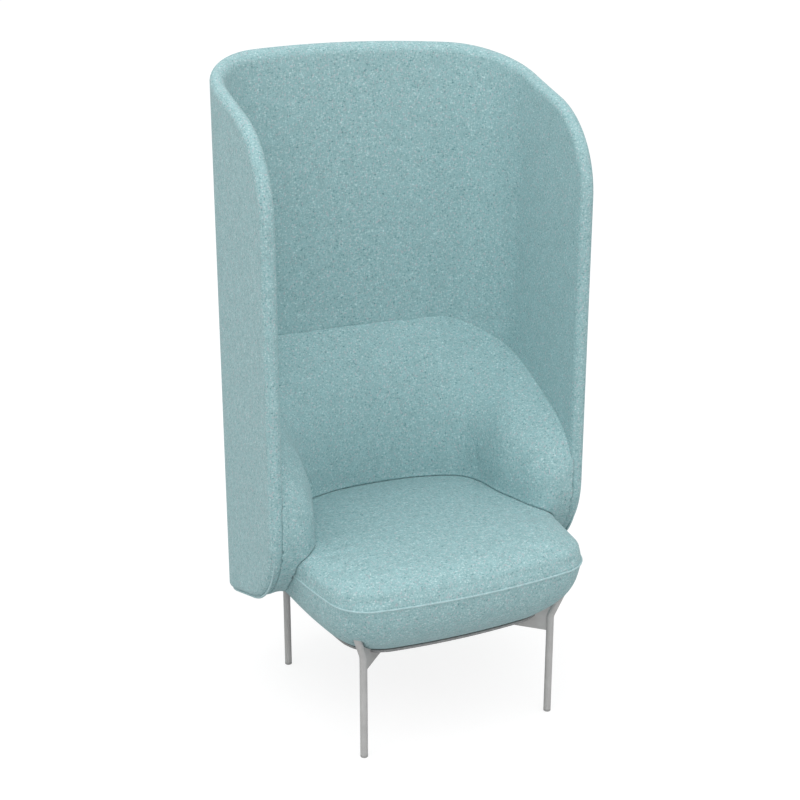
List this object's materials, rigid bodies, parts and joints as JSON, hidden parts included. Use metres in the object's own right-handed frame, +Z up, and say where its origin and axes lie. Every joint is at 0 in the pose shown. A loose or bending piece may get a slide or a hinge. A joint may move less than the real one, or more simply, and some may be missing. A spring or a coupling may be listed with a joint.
{
  "type": "acoustic high back lounge chair",
  "caption": "High back lounge chair: a tall upholstered wall bends round back and sides, a soft pad lines it, a piped seat stands on slim tube legs.",
  "frame": {"origin": "on the floor, under the middle of the chair's outline box", "axes": "+Z up, -Y the way the sitter faces, +X to the right of someone who looks at the chair's front"},
  "size_m": [0.736, 0.6428, 1.4025],
  "materials": {
    "cover_fabric": "heathered woven wool blend, turquoise with light and grey flecks",
    "piping_fabric": "the cover fabric sewn round a cord",
    "upholstery_foam": "plain open-cell foam, hidden",
    "plywood": "raw birch plywood, hidden",
    "underside_panel": "matt grey board",
    "frame_steel": "satin light grey powder coat",
    "tip_plug": "satin light grey",
    "glide_plastic": "matt grey",
    "bracket_steel": "black powder coat, hidden",
    "fastener_steel": "zinc plated",
    "clip_plastic": "white nylon"
  },
  "bodies": {
    "root": {"board_tee_nuts": "fastener_steel", "bracket_left": "bracket_steel", "bracket_rear": "bracket_steel", "bracket_right": "bracket_steel", "bracket_screws": "fastener_steel", "cross_plate_lower": "frame_steel", "cross_plate_upper": "frame_steel", "floor_glide_front_left": "glide_plastic", "floor_glide_front_right": "glide_plastic", "floor_glide_rear_left": "glide_plastic", "floor_glide_rear_right": "glide_plastic", "leg_front_left": "frame_steel", "leg_front_right": "frame_steel", "leg_rear_left": "frame_steel", "leg_rear_right": "frame_steel", "leg_tip_plug_front_left": "tip_plug", "leg_tip_plug_front_right": "tip_plug", "leg_tip_plug_rear_left": "tip_plug", "leg_tip_plug_rear_right": "tip_plug", "mounting_tab_front_left": "frame_steel", "mounting_tab_front_right": "frame_steel", "mounting_tab_rear_left": "frame_steel", "mounting_tab_rear_right": "frame_steel", "pad_carrier": "plywood", "pad_clips": "clip_plastic", "pad_cover": "cover_fabric", "pad_foam": "upholstery_foam", "seat_base_board": "plywood", "seat_bolts": "fastener_steel", "seat_cover_lower": "cover_fabric", "seat_cover_upper": "cover_fabric", "seat_foam": "upholstery_foam", "seat_piping": "piping_fabric", "seat_underside_panel": "underside_panel", "shell_bolts": "fastener_steel", "shell_core": "plywood", "shell_cover_inner": "cover_fabric", "shell_cover_outer": "cover_fabric", "shell_edge_welt": "piping_fabric", "shell_foam_inner": "upholstery_foam", "shell_foam_outer": "upholstery_foam", "shell_inserts": "fastener_steel", "shell_spacers": "fastener_steel"}
  },
  "joints": []
}
